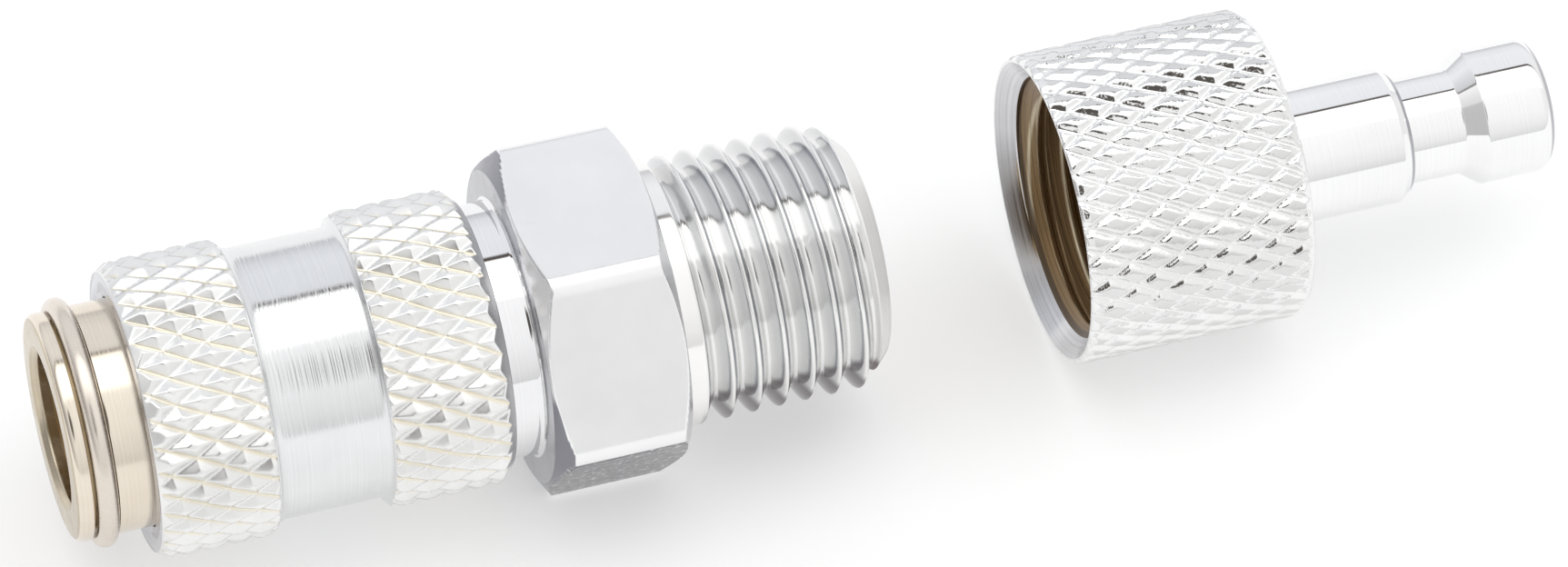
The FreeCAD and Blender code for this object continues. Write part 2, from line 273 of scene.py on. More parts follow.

# a mark: its name, its tone, the values where it starts and is full, and the tone of painted glints if it has
# any
metals = {
    "warmNickel": {"dark": (0.78, 0.70, 0.59), "light": (0.86, 0.78, 0.665), "rough": (0.12, 0.19),
                   "lines": 0.08, "streaks": 0.06},
    # the nose's front face: a darker copy of the nickel, a painted shade
    "noseFaceShade": {"dark": (0.56, 0.48, 0.36), "light": (0.64, 0.56, 0.43), "rough": (0.20, 0.30),
                 "streaks": 0.12},
    "noseGroove": {"dark": (0.76, 0.60, 0.37), "light": (0.87, 0.71, 0.46), "rough": (0.34, 0.44)},
    "noseBore": {"dark": (0.52, 0.38, 0.19), "light": (0.72, 0.56, 0.33), "rough": (0.36, 0.44),
                 "lines": 0.15},
    "ringWire": {"dark": (0.70, 0.635, 0.56), "light": (0.80, 0.735, 0.655), "rough": (0.22, 0.32)},
    "sleeveKnurl": {"dark": (0.81, 0.81, 0.80), "light": (0.87, 0.87, 0.86), "rough": (0.25, 0.35),
                    "dents": 0.25, "marks": [("groove", (0.80, 0.745, 0.61), 0.72, 0.97)]},
    "sleeveWaist": {"dark": (0.77, 0.775, 0.78), "light": (0.83, 0.835, 0.84), "rough": (0.05, 0.20),
                    "lines": 0.6, "lineDepth": 0.00004, "streaks": 0.06},
    # the sleeve's front face: a darker copy of the plating, a painted shade
    "sleeveFaceShade": {"dark": (0.54, 0.545, 0.58), "light": (0.64, 0.645, 0.68), "rough": (0.16, 0.26),
                   "lines": 0.1},
    "mirrorCollar": {"dark": (0.83, 0.83, 0.84), "light": (0.88, 0.88, 0.89), "rough": (0.03, 0.06),
                     "streaks": 0.04},
    "zincHex": {"dark": (0.86, 0.86, 0.86), "light": (0.90, 0.90, 0.90), "rough": (0.20, 0.27),
                # turned: a darker tone on the hexagon's end faces and chamfers, a painted shade
                "dents": 0.22, "marks": [("turned", (0.70, 0.70, 0.72), 0.2, 0.8),
                                         # facing: painted shade on the hexagon's front face and front chamfer
                                         ("facing", (0.24, 0.24, 0.27), 0.2, 0.8),
                                         # dull: painted shade on the two lower flats, with painted glints in
                                         # it
                                         ("dull", (0.17, 0.165, 0.18), 0.3, 0.7, (0.78, 0.78, 0.78))]},
    "threadPlate": {"dark": (0.88, 0.875, 0.86), "light": (0.94, 0.935, 0.92), "rough": (0.08, 0.16),
                    # flank: painted shade on the sides of the thread's teeth
                    "dents": 0.2, "marks": [("flank", (0.26, 0.275, 0.305), 0.0, 1.0),
                                            # under: painted shade on the low side of the thread
                                            ("under", (0.17, 0.15, 0.16), 0.0, 1.0)]},
    "threadEnd": {"dark": (0.90, 0.895, 0.885), "light": (0.95, 0.945, 0.935), "rough": (0.38, 0.48),
                  # under: painted shade on the low side of the thread's end
                  "streaks": 0.08, "metallic": 0.35, "marks": [("under", (0.24, 0.19, 0.19), 0.0, 1.0)]},
    "plugNickel": {"dark": (0.89, 0.89, 0.89), "light": (0.93, 0.93, 0.93), "rough": (0.03, 0.07),
                   # edge: painted shade at the ends of the step and the tip
                   "streaks": 0.03, "marks": [("edge", (0.40, 0.40, 0.43), 0.0, 1.0)]},
    # the nut's rim and countersink: a darker copy of the nickel, a painted shade
    "plugRimShade": {"dark": (0.70, 0.70, 0.72), "light": (0.80, 0.80, 0.82), "rough": (0.14, 0.24),
                "streaks": 0.25, "lines": 0.1},
    "plugKnurl": {"dark": (0.83, 0.83, 0.825), "light": (0.89, 0.89, 0.885), "rough": (0.05, 0.11),
                  # top: painted shade on the flat tops of the knurl
                  "wobble": 0.00007, "marks": [("top", (0.68, 0.68, 0.675), 0.0, 1.0)]},
    "threadBrass": {"dark": (0.95, 0.80, 0.55), "light": (1.0, 0.87, 0.63), "rough": (0.24, 0.36),
                    "metallic": 0.35, "streaks": 0.62,
                    "lines": 0.5, "lineScale": 6500.0, "lineDepth": 0.00003,
                    # flank: dark brass, left off the crests and the countersink's edge, which keep a painted
                    # highlight
                    "marks": [("flank", (0.39, 0.255, 0.125), 0.15, 0.7),
                              # start: painted shade on the first side of the thread
                              ("start", (0.12, 0.08, 0.045), 0.0, 0.9)]},
    "springWire": {"dark": (0.42, 0.40, 0.37), "light": (0.54, 0.52, 0.48), "rough": (0.18, 0.3)},
    "ballSteel": {"dark": (0.74, 0.74, 0.76), "light": (0.82, 0.82, 0.84), "rough": (0.04, 0.09)},
    "plainBrass": {"dark": (0.48, 0.33, 0.14), "light": (0.60, 0.44, 0.21), "rough": (0.18, 0.3),
                   "lines": 0.15},
}


def metal(name, entry):
    # plated or bare metal: cloudy colour, uneven gloss, turning lines, sparse small dents
    look = {**metalBase, **entry}
    mat, tree, bsdf = nodesOf(name)
    at = pointOn(tree)
    cloud = noiseOn(tree, at, look["cloud"])
    normal = None
    colour = cloudOn(tree, cloud, look["dark"], look["light"])
    for mark, tone, low, high, *glint in look["marks"]:  # a second tone where a point mark says so
        where = addNode(tree, "ShaderNodeAttribute", {}, attribute_name=mark)
        share = spanOn(tree, where.outputs["Fac"], 0.0, 1.0, low, high)
        # light specks in the mark's tone: painted glints
        if glint:
            glints = noiseOn(tree, at, look["glintScale"], 2.0)
            second = rampOn(tree, glints, list(zip(look["glintSpan"], (tone, glint[0]))))
        else:
            second = cloudOn(tree, cloud, tone, [min(1.0, c * look["markLift"]) for c in tone])
        colour = mixOn(tree, share, colour, second)
    if look["streaks"] or look["lines"]:
        lines = linesOn(tree, at, look["lineScale"])
    if look["streaks"]:  # lines left by the lathe tool, lighter and darker
        shade = cloudOn(tree, lines, [1 - look["streaks"]] * 3, [1.0] * 3)
        colour = mixOn(tree, 1.0, colour, shade, "MULTIPLY")
    if look["lines"]:  # the same lines cut into the surface
        normal = bumpOn(tree, lines, look["lines"], look["lineDepth"])
        gloss = lines
    else:
        gloss = noiseOn(tree, at, look["grain"], 2.0)
    if look["wobble"]:  # soft unevenness of a rolled surface
        uneven = noiseOn(tree, at, look["wobbleScale"], 2.0)
        normal = bumpOn(tree, uneven, look["wobbleStrength"], look["wobble"], normal)
    if look["dents"]:
        spots = spanOn(tree, noiseOn(tree, at, look["dentScale"], 1.0), 1.0, 0.0, *look["dentSpan"])
        normal = bumpOn(tree, spots, look["dents"], look["dentDepth"], normal)
    if normal is not None:
        feed(tree, bsdf.inputs["Normal"], normal)
    feed(tree, bsdf.inputs["Base Color"], colour)
    feed(tree, bsdf.inputs["Metallic"], look["metallic"])
    feed(tree, bsdf.inputs["Roughness"], spanOn(tree, gloss, *look["rough"]))
    return mat


nitrileLook = {"dark": (0.012, 0.012, 0.013), "light": (0.03, 0.03, 0.032), "bloom": 900.0,
               "grain": 6000.0, "rough": (0.42, 0.62), "bump": 0.15, "depth": 0.00002}


def rubber(name, look):
    # black rubber: a faint bloom on the colour and a fine moulded grain
    mat, tree, bsdf = nodesOf(name)
    at = pointOn(tree)
    bloom = noiseOn(tree, at, look["bloom"])
    grain = noiseOn(tree, at, look["grain"], 2.0)
    feed(tree, bsdf.inputs["Base Color"], cloudOn(tree, bloom, look["dark"], look["light"]))
    feed(tree, bsdf.inputs["Roughness"], spanOn(tree, grain, *look["rough"]))
    feed(tree, bsdf.inputs["Normal"], bumpOn(tree, grain, look["bump"], look["depth"]))
    return mat


finishes = {name: metal(name, entry) for name, entry in metals.items()}
finishes["nitrile"] = rubber("nitrile", nitrileLook)
print("finishes", len(finishes))


nodeFinish = {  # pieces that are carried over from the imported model
    "plug_seal": "nitrile", "valve_seal": "nitrile", "body_gasket": "nitrile", "valve_poppet": "plainBrass",
    **{"locking_ball_%d" % k: "ballSteel" for k in range(1, 7)},
}
for node, finish in nodeFinish.items():
    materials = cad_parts[node].data.materials
    materials.clear()
    materials.append(finishes[finish])
print("nodes dressed", len(nodeFinish))


nose = {
    "radius": 5.575, "edge": 0.42, "edgeRows": 9, "shoulder": 11.20, "stem": 4.95, "stemEnd": 20.20,
    "chamfer": 0.25, "bore": 3.55, "boreFront": 5.20, "entry": 3.75, "entryBack": 5.00, "mouth": 0.30,
    "grooveFront": 0.775, "grooveBack": 2.015, "groove": 5.01, "grooveLead": 0.1,  # room of the wire ring
    "sealFront": 10.60, "sealBack": 11.70, "seal": 4.48,  # groove of the rubber ring
    "chamber": 4.35, "seatBack": 15.00, "seatFront": 14.20,  # room of the valve, and its seat
    "ballAt": 7.40, "balls": 6, "pocketSides": 40,
    "pocket": [(0.977, 2.55), (0.977, 3.50), (1.30, 4.05), (1.30, 6.60)],  # radius, distance from the axis
    "outerSupport": 1.8, "boreSupport": 1.4,  # rows beside the ball holes, so that the shading stays even
    "faceOut": 4.45, "faceBack": 0.90, "boreFinish": 4.25,  # where the front face's painted shade and the bore's finish end
    "ringAt": 1.45, "wire": 0.525, "wireEnd": 0.93, "wireSides": 20, "ringSteps": 220,
    "gap": 8.0,  # degrees from the bottom to each end of the wire
    "cols": 240, "sharp": 35.0,  # columns round the axis, and degrees over which an edge stays sharp
}


def ballPockets():
    # a round cutter for each ball: its ring of points at distance h has the pocket's radius there
    d = nose
    sides = d["pocketSides"]
    w = evenTurns(sides)
    r, h = (np.array(c)[:, None] for c in zip(*d["pocket"]))
    x, y, z = np.broadcast_arrays(d["ballAt"] + place["shift"] + r * np.cos(w), r * np.sin(w), h)
    x, y, z = x.ravel(), y.ravel(), z.ravel()
    a = evenTurns(d["balls"])[:, None]
    turnedY = y * np.cos(a) - z * np.sin(a)
    turnedZ = y * np.sin(a) + z * np.cos(a) + place["socketAxis"]
    verts = np.stack(np.broadcast_arrays(x, turnedY, turnedZ), -1).reshape(-1, 3) * place["toMetres"]
    caps = [list(range(sides))[::-1], list(range(len(x) - sides, len(x)))]
    shell = ringFaces(len(d["pocket"]), sides, False).tolist() + caps
    faces = [[v + k * len(x) for v in face] for k in range(d["balls"]) for face in shell]
    mesh = bpy.data.meshes.new("ball_pockets")
    mesh.from_pydata(verts.tolist(), [], faces)
    return putObject("ball_pockets", mesh)


def frontBody():
    # closed skin of nose, stem, valve seat, seal groove and bore, then the ball holes cut out of it
    d = nose
    radius, chamfer, bore, entry, mouth = (d[k] for k in ("radius", "chamfer", "bore", "entry", "mouth"))
    edge = quarterArc((d["edge"], radius - d["edge"]), -d["edge"], d["edge"], d["edgeRows"])[::-1]
    outside = [
        (d["grooveFront"] - d["grooveLead"], radius),
        (d["grooveFront"], radius), (d["grooveFront"], d["groove"]),
        (d["grooveBack"], d["groove"]), (d["grooveBack"], radius),
        (d["ballAt"] - d["outerSupport"], radius), (d["ballAt"] + d["outerSupport"], radius),
        (d["shoulder"] - chamfer, radius), (d["shoulder"], radius - chamfer), (d["shoulder"], d["stem"]),
        (d["stemEnd"] - chamfer, d["stem"]), (d["stemEnd"], d["stem"] - chamfer),
    ]
    inside = [
        (d["stemEnd"], d["chamber"]), (d["seatBack"], d["chamber"]), (d["seatFront"], bore),
        (d["sealBack"], bore), (d["sealBack"], d["seal"]),
        (d["sealFront"], d["seal"]), (d["sealFront"], bore),
        (d["ballAt"] + d["boreSupport"], bore), (d["ballAt"] - d["boreSupport"], bore),
        (d["boreFront"], bore), (d["entryBack"], entry),
        (d["faceBack"], entry), (mouth, entry), (0.0, entry + mouth), (0.0, d["faceOut"]),
    ]
    outline = np.concatenate([edge, eased(outside + inside)])
    s, r = outline.T
    slack = 0.04  # tells a row from the ones beside it
    rowMat = np.zeros(len(outline), int)
    rowMat[(r < radius - slack) & (s > d["grooveFront"] - slack) & (s < d["grooveBack"] + slack)] = 1
    rowMat[r < d["boreFinish"]] = 2
    rowMat[(r < radius - chamfer) & (s < d["faceBack"] - slack)] = 3  # front face and the first of the bore, in painted shade
    obj = turnedSkin("front_body_skin", *allRound(outline, d["cols"]), evenTurns(d["cols"]), "socketAxis",
                     ["warmNickel", "noseGroove", "noseBore", "noseFaceShade"], rowMat)
    cutter = ballPockets()
    cut = obj.modifiers.new("pockets", "BOOLEAN")
    cut.operation, cut.solver, cut.object = "DIFFERENCE", "EXACT", cutter
    mesh = bpy.data.meshes.new_from_object(obj.evaluated_get(bpy.context.evaluated_depsgraph_get()))
    mesh.set_sharp_from_angle(angle=math.radians(d["sharp"]))
    obj.modifiers.clear()
    obj.data = mesh
    bpy.data.objects.remove(cutter)
    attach(obj, "socket")
    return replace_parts(obj, "front_body")


def wireRing():
    # round wire carried along an open circle, ends closed on the wire's own centre
    d = nose
    a = np.radians(np.linspace(d["gap"] - 90, 270 - d["gap"], d["ringSteps"]))
    w = -evenTurns(d["wireSides"])  # counted backwards, so that the faces look outwards
    ends = [0.0, d["wireEnd"]]
    thick = d["wire"] * np.concatenate([ends, np.ones(len(a)), ends[::-1]])[:, None]
    a = np.pad(a, len(ends), mode="edge")[:, None]
    verts = axisPoints(d["ringAt"] + thick * np.sin(w), d["radius"] + thick * np.cos(w), a, "socketAxis")
    obj = putMesh("nose_ring", verts, ringFaces(len(a), len(w), False), ["ringWire"])
    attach(obj, "socket")
    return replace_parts(obj, "retaining_ring")


noseSkin = frontBody()
noseRing = wireRing()
print("nose", len(noseSkin.data.polygons), len(noseRing.data.polygons))


rolling = {
    "waver": [(0.03, 5, 1.1), (0.025, 9, -1.7)],  # share of a pitch, waves round the axis, rate along it
    "rightShare": 0.8,
}


def pitchRadius(d):
    return d["tops"] - d["pitchLine"]


def leanOf(d, family):
    return math.tan(math.radians(d[family]))


def phases(s, turn, d):
    # two crossing families of grooves: a phase grows by 1 a groove, with a small waver from the rolling tool
    meanR = pitchRadius(d)
    left = (turn * meanR - s * leanOf(d, "leftLean")) * d["leftStarts"] / (2 * math.pi * meanR)
    right = (turn * meanR + s * leanOf(d, "rightLean")) * d["rightStarts"] / (2 * math.pi * meanR)
    waver = sum(size * np.sin(about * turn + along * s) for size, about, along in rolling["waver"])
    return left + waver, right - rolling["rightShare"] * waver


def alongGrooves(s, d):
    # angles of the columns at each station, which run along the left-leaning grooves
    return evenTurns(d["leftStarts"] * d["perGroove"]) + s[:, None] * leanOf(d, "leftLean") / pitchRadius(d)


def bandRows(band, d):
    # stations along a knurled band, and the radius its outline allows there
    start, end = band["inside"][0][0], band["inside"][-1][0]
    s = np.linspace(start, end, int((end - start) / d["step"]))
    return s, d["tops"] - np.interp(s, *zip(*band["below"]))[:, None]


def closedBand(s, r, band, d):
    # the outer rows of a knurled band, then rows back along the inside of the shell
    back = np.linspace(s[-1], s[0], d["insideRows"])
    rows = np.concatenate([s, back])
    inner = np.interp(back, *zip(*band["inside"]))[:, None]
    return rows, np.concatenate([r, np.repeat(inner, r.shape[1], 1)]), alongGrooves(rows, d)


sleeve = {
    "tops": 7.27, "pitchLine": 0.2,  # radius over the knurl, and how far below it the pitch is counted
    "leftStarts": 34, "rightStarts": 30,  # grooves in each family, counted round the sleeve
    "leftLean": 29.5, "rightLean": 31.0,  # degrees from the axis
    "depth": 0.38, "crest": 0.80,  # groove depth and how much of each pyramid's height stays
    "ridgeRound": 0.06, "crestRound": 0.08, "edgeRound": 0.02,
    "perGroove": 22, "step": 0.062, "insideRows": 9,
    "bands": {  # station and depth below the tops of the outer edges, station and radius of the inside
        "sleeve_band_front": {"below": [(3.71, 0.41), (4.36, 0), (9.21, 0), (9.51, 0.24), (9.54, 0.37)],
                              "inside": [(3.71, 5.86), (4.5, 6.40), (9.53, 6.55)]},
        "sleeve_band_rear": {"below": [(15.14, 0.37), (15.16, 0.24), (15.36, 0), (20.57, 0), (21.23, 0.67)],
                             "inside": [(15.14, 6.60), (21.23, 6.45)]},
    },
    "front": 3.71, "rear": 21.23, "land": 5.62, "landEdge": 0.20, "landBack": 12.0,
    "lead": (0.02, 0.18), "landRise": 0.03, "landGap": 0.04,  # small steps of the outline where it closes
    "frontCut": 0.02, "backCut": 0.03,  # how far from a corner its rounding starts
    "relief": 6.12, "reliefFront": 4.85, "reliefBack": 7.68, "rampBack": 8.447,  # room of the balls
    "chamber": 6.0, "skirt": 6.30, "skirtFront": 15.70, "skirtOut": 6.45,  # spring room, and the skirt
    "underFront": [(3.90, 6.35), (9.45, 6.60), (9.48, 7.0)],  # below the two bands
    "underRear": [(15.19, 7.0), (15.22, 6.55), (20.6, 6.45)],
    "frontFillet": [  # from the front band down to the waist, which runs straight to the rear fillet
        (9.50, 7.03), (9.56, 6.90), (9.68, 6.79), (9.84, 6.71), (10.00, 6.665), (10.16, 6.65)],
    "rearFillet": [  # from the waist up to the rear band
        (14.71, 6.65), (14.85, 6.665), (14.98, 6.72), (15.08, 6.82), (15.14, 6.92), (15.17, 7.03)],
    "faceBack": 4.0, "faceOut": 6.0,  # what has the front face's painted shade
    "cols": 288,
}


def sleeveBand(name, band):
    # a ring shell: the outline of the band, cut by the grooves where they lie deeper
    d = sleeve
    s, limit = bandRows(band, d)
    left, right = (fromGroove(x) for x in phases(s[:, None], alongGrooves(s, d), d))
    tall = softMin(softMin(left, right, d["ridgeRound"]), d["crest"], d["crestRound"])
    knurl = d["tops"] - d["depth"] * (1 - tall / d["crest"])
    r = softMin(knurl, limit, d["edgeRound"])
    groove = np.where(r < knurl - d["edgeRound"], 0, 1 - left)
    rows, radii, turn = closedBand(s, r, band, d)
    rowMat = [0] * (len(rows) - 1) + [1]  # the last strip closes the front face
    obj = turnedSkin(name, rows, radii, turn, "socketAxis", ["sleeveKnurl", "sleeveFaceShade"], rowMat,
                     {"groove": onRows(radii.shape, 0, groove)})
    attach(obj, "sleeve")
    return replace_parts(obj, "locking_sleeve")


def sleeveBody():
    # the turned body: closed outline of front edge, waist and fillets, skirt, spring room, land and relief
    # the outline's first point only gives the direction of the first corner
    d = sleeve
    start, edge, land = d["front"], d["landEdge"], d["land"]
    lead, leadOut = d["lead"]
    front = eased([(start + edge + lead, land + leadOut), (start + edge, land), (start, land + edge),
                   (start, land + edge + d["landRise"]), *d["underFront"]], d["frontCut"])
    front = front[4:]
    back = eased([*d["underRear"], (d["rear"], d["skirtOut"]), (d["rear"], d["skirt"]),
                  (d["skirtFront"], d["skirt"]), (d["skirtFront"], d["chamber"]),
                  (d["landBack"], d["chamber"]), (d["landBack"], land),
                  (d["rampBack"], land), (d["reliefBack"], d["relief"]), (d["reliefFront"], d["relief"]),
                  (d["reliefFront"], land), (start + edge + d["landGap"], land)], d["backCut"])
    outline = np.concatenate([front, d["frontFillet"], d["rearFillet"], back])
    rowMat = ((outline[:, 0] < d["faceBack"]) & (outline[:, 1] < d["faceOut"])).astype(int)
    obj = turnedSkin("sleeve_body", *allRound(outline, d["cols"]), evenTurns(d["cols"]), "socketAxis",
                     ["sleeveWaist", "sleeveFaceShade"], rowMat)
    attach(obj, "sleeve")
    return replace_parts(obj, "locking_sleeve")


bands = [sleeveBand(name, band) for name, band in sleeve["bands"].items()]
sleeveBody()
print("sleeve", [len(band.data.polygons) for band in bands])


thread = {
    "pitch": 1.337, "major": 6.5785, "minor": 5.7225, "step": 0.066,
    "root": 0.14, "crest": 0.07, "bend": 0.2,  # flat shares of half a pitch, bend of the sides
    "dull": [  # phase, with the root at 0 and the crest at 0.5, and how much painted shade there is
        (0, 0.15), (0.12, 0.25), (0.25, 0.42), (0.38, 0.40), (0.46, 0.05), (0.53, 0.05),
        (0.58, 0.70), (0.63, 1.0), (0.68, 0.70), (0.73, 0.15), (1, 0.15)],
}


def threadPhase(s, turn):
    # grows by 1 a turn along the axis, and goes back by 1 once round it
    return s[:, None] / thread["pitch"] - turn / (2 * np.pi)


def threadShape(x):
    # 0 at the root and 1 at the crest of a 55 degree thread, for a phase that grows by 1 a turn:
    # straight sides between two flats, bent a little into a cubic
    tall = np.clip((fromGroove(x) - thread["root"]) / (1 - thread["root"] - thread["crest"]), 0, 1)
    return (1 - thread["bend"]) * tall + thread["bend"] * smoothStep(tall)


def threadSides(x):
    # how much painted shade there is round one turn, in straight lines between the listed points
    return np.interp(x - np.floor(x), *zip(*thread["dull"]))


adapter = {
    "front": 17.50, "collar": 6.25, "collarEdge": 0.30, "seam": 5.3,  # the skin closes on the front face
    "collarFoot": [(-0.25, 0), (-0.10, 0.05), (0, 0.25)],  # fillet, from the corner at the hexagon
    "hexFront": 22.80, "hexRear": 29.65, "flat": 7.9375, "edge": 1.20,  # edge is the radius between two flats
    "inset": 0.20, "chamferLean": 60.0, "chamferRound": 0.06, "faceOut": 7.6, "faceBevel": 0.02,
    "cornerCols": 26, "flatCols": 22,  # columns on each edge and on each flat
    "closeRows": [0, 0.015, 0.04, 0.08], "chamferSpan": (0.13, 1.40), "chamferRows": 26,  # from either face
    "flatFrom": 1.7, "flatRows": 8,
    "shoulder": 6.60, "shoulderStep": 0.05, "shoulderFall": 0.02,  # where the thread meets the hexagon
    "plain": 1.15, "runIn": 0.4,  # plain stretch, and where the thread deepens
    "threadLead": 0.1, "endGap": 0.02, "seamGap": 0.1,  # small steps between stretches of the skin
    "cut": 0.03, "shoulderCut": 0.02,  # how far from a corner its rounding starts
    "end": 40.40, "coneStart": 39.10, "coneEnd": 5.25, "coneRound": 0.03, "endFinish": 0.35,
    "air": 2.6, "airEdge": 0.4,  # bore behind the spring
    "steps": [(28.03, 4.0), (25.03, 4.38), (21.0, 4.98)],  # where the bore widens, and to what
    "under": (222, 0.89, 0.06),  # painted shade on the low side of the thread: degrees, cosine where it starts, its easing
    "lowFlats": [(210, 0.872, 0.02), (330, 0.872, 0.02)],  # flats with painted shade
    "lit": (120, 0.72, 0.15),  # corner whose chamfer is left out of the painted shade
    "faceShade": 0.56, "chamferBack": 1.10,  # share of painted shade on the front face, and how far back its chamfer goes
}


def hexCorner():
    # distance from the axis to the centre of a rounded edge, and the angle from a flat's middle to the edge
    d = adapter
    c = (d["flat"] - d["edge"]) / math.cos(math.pi / 6)
    return c, math.atan2(c * 0.5, d["flat"])


def hexTurns():
    # column angles, close together on the rounded edges and wider on the flats
    d = adapter
    reach = hexCorner()[1]
    one = np.concatenate([np.linspace(-reach, reach, d["flatCols"], endpoint=False),
                          np.linspace(reach, math.pi / 3 - reach, d["cornerCols"], endpoint=False)])
    return (np.arange(6)[:, None] * math.pi / 3 + math.pi / 6 + one).ravel()


def hexRadius(turn):
    # radius of a hexagon with rounded edges: flat over the cosine, or the edge's own arc near a corner
    d = adapter
    c, reach = hexCorner()
    off = np.abs(np.mod(turn, math.pi / 3) - math.pi / 6)
    lean = math.pi / 6 - off
    arc = c * np.cos(lean) + np.sqrt(np.maximum(d["edge"] ** 2 - (c * np.sin(lean)) ** 2, 0))
    return np.where(off <= reach, d["flat"] / np.cos(off), arc)


def hexSides(turn):
    # the flats, cut by a chamfer cone at each end: rows lie close together on the chamfers
    d = adapter
    start, end = d["hexFront"], d["hexRear"]
    close = np.concatenate([d["closeRows"], np.linspace(*d["chamferSpan"], d["chamferRows"])])
    middle = np.linspace(start + d["flatFrom"], end - d["flatFrom"], d["flatRows"])
    s = np.concatenate([start + close, middle, end - close[::-1]])
    slope = math.tan(math.radians(d["chamferLean"]))
    cone = d["flat"] - d["inset"] + np.minimum(s - start, end - s) * slope
    cone[[0, -1]] -= d["faceBevel"]
    return s, softMin(hexRadius(turn), cone[:, None], d["chamferRound"])


def outerThread(turn):
    # the male thread: crests at the major radius, grooves that deepen over the run-in, cut by the end cone
    d = adapter
    s = np.arange(d["hexRear"] + d["threadLead"], d["end"] - d["endGap"], thread["step"])
    grow = smoothStep((s - (d["hexRear"] + d["plain"] - d["runIn"] / 2)) / d["runIn"])[:, None]
    phase = threadPhase(s, turn)
    cut = thread["major"] - (thread["major"] - thread["minor"]) * (1 - threadShape(phase)) * grow
    fall = (thread["major"] - d["coneEnd"]) / (d["end"] - d["coneStart"])
    cone = (thread["major"] - (s - d["coneStart"]) * fall)[:, None]
    # painted shade on the sides of the teeth
    flank = threadSides(phase) * grow * (cut < cone)
    return s, softMin(cut, cone, d["coneRound"]), flank, near(turn, *d["under"]) * grow


def rearAdapter():
    # one closed skin: collar, hexagon, thread and stepped bore
    d = adapter
    turn = hexTurns()
    cols = len(turn)
    front, hexFront, hexRear, end = d["front"], d["hexFront"], d["hexRear"], d["end"]
    collarR, collarEdge = d["collar"], d["collarEdge"]
    foot = [(hexFront + along, collarR + out) for along, out in d["collarFoot"]]
    collar = eased([(front, d["seam"]), (front, collarR - collarEdge), (front + collarEdge, collarR),
                    *foot, (hexFront, d["faceOut"])], d["cut"])
    sideS, flats = hexSides(turn)
    back = eased([(hexRear, d["faceOut"]), (hexRear, d["shoulder"]),
                  (hexRear + d["shoulderStep"], d["shoulder"] - d["shoulderFall"])], d["shoulderCut"])
    cutS, cut, flank, under = outerThread(turn)
    bore = [(end, d["coneEnd"] - d["endGap"]), (end, d["air"] + d["airEdge"]),
            (end - d["airEdge"], d["air"])]
    for station, radius in d["steps"]:
        bore += [(station, bore[-1][1]), (station, radius)]
    bore = eased(bore + [(front, bore[-1][1]), (front, d["seam"] - d["seamGap"])], d["cut"])
    rows, radii, rowMat = stackParts([
        (*allRound(collar, cols), 0), (sideS, flats, 1), (*allRound(back, cols), 2),
        (cutS, cut, 2), (*allRound(bore, cols), 3)])
    slack = 0.05  # tells a row from the ones beside it
    rowMat[(rowMat == 0) & (rows > hexFront - slack)] = 1
    rowMat[(rowMat == 2) & (rows > d["coneStart"] + d["endFinish"])] = 4
    onHex = rowMat[:, None] == 1
    endShadeMark = np.where(onHex & (radii < hexRadius(turn) - slack), 1.0, 0.0)  # faces and chamfers, which get painted shade
    # painted shade on the front face and the front chamfer, except round the lit corner
    onFront = endShadeMark * (rows < hexFront + d["chamferBack"])[:, None]
    onFace = (rows < hexFront + d["closeRows"][1] / 2)[:, None]
    facing = onFront * np.where(onFace, d["faceShade"], 1 - near(turn, *d["lit"]))
    lowFlats = np.maximum(*(near(turn, *angle) for angle in d["lowFlats"]))
    first = len(collar) + len(sideS) + len(back)
    # painted shade on the two lower flats
    dull = np.where(onHex, lowFlats, 0.0) * (1 - endShadeMark)
    marks = {"turned": endShadeMark, "facing": facing, "dull": dull,
             "flank": onRows(radii.shape, first, flank), "under": onRows(radii.shape, first, under)}
    obj = turnedSkin("rear_adapter_skin", rows, radii, turn, "socketAxis",
                     ["mirrorCollar", "zincHex", "threadPlate", "plainBrass", "threadEnd"], rowMat, marks)
    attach(obj, "socket")
    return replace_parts(obj, "rear_adapter")


adapterSkin = rearAdapter()
print("adapter", len(adapterSkin.data.polygons))


